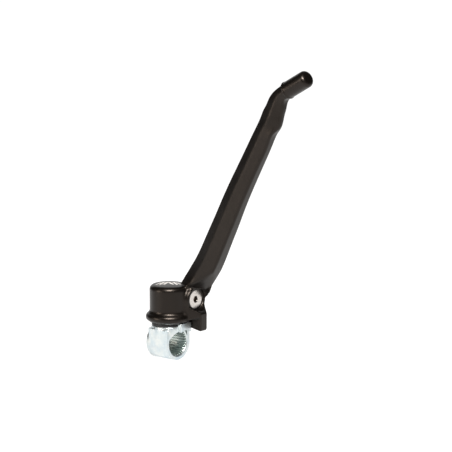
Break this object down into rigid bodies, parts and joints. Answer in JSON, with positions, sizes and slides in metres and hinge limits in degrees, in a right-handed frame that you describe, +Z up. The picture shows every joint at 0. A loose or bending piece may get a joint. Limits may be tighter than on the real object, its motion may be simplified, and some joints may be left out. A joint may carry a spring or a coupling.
{
  "type": "folding kick start lever",
  "caption": "Black folding kick-start lever: curved arm with a round toe peg, turning on a splined steel knuckle.",
  "frame": {"origin": "where the splined bore's axis meets the pivot axis", "axes": "+Z up the pivot post, the splined bore along Y, -Y outboard, the side the toe peg points to when swung out"},
  "size_m": [0.0346, 0.1278, 0.203],
  "materials": {
    "arm_black": "satin black hard anodised",
    "zinc_plate": "bright blue-white zinc plate",
    "stainless": "plain stainless",
    "spring_steel": "oiled spring steel",
    "bearing_steel": "polished ball",
    "bush_bronze": "sintered bronze",
    "black_rubber": "matt nitrile rubber",
    "bearing_plastic": "natural acetal"
  },
  "bodies": {
    "base": {"knuckle": "zinc_plate", "dust_seal": "black_rubber", "post_o_ring": "black_rubber", "detent_spring": "spring_steel"},
    "arm": {"kick_arm": "arm_black", "retaining_screw": "stainless", "pivot_bush": "bush_bronze", "thrust_disc": "bearing_plastic"},
    "ball": {"detent_ball": "bearing_steel"}
  },
  "joints": [
    {"name": "arm_swing", "type": "hinge", "parent": "base", "child": "arm", "pos_m": [0, 0, 0.02], "axis": [0, 0, 1], "range_deg": [0, 90]},
    {"name": "ball_slide", "type": "slide", "parent": "base", "child": "ball", "axis": [0, 1, 0], "range_m": [0, 0.0008], "stiffness_N_per_m": 2000, "springref_m": -0.002, "deforming": ["detent_spring"]}
  ]
}
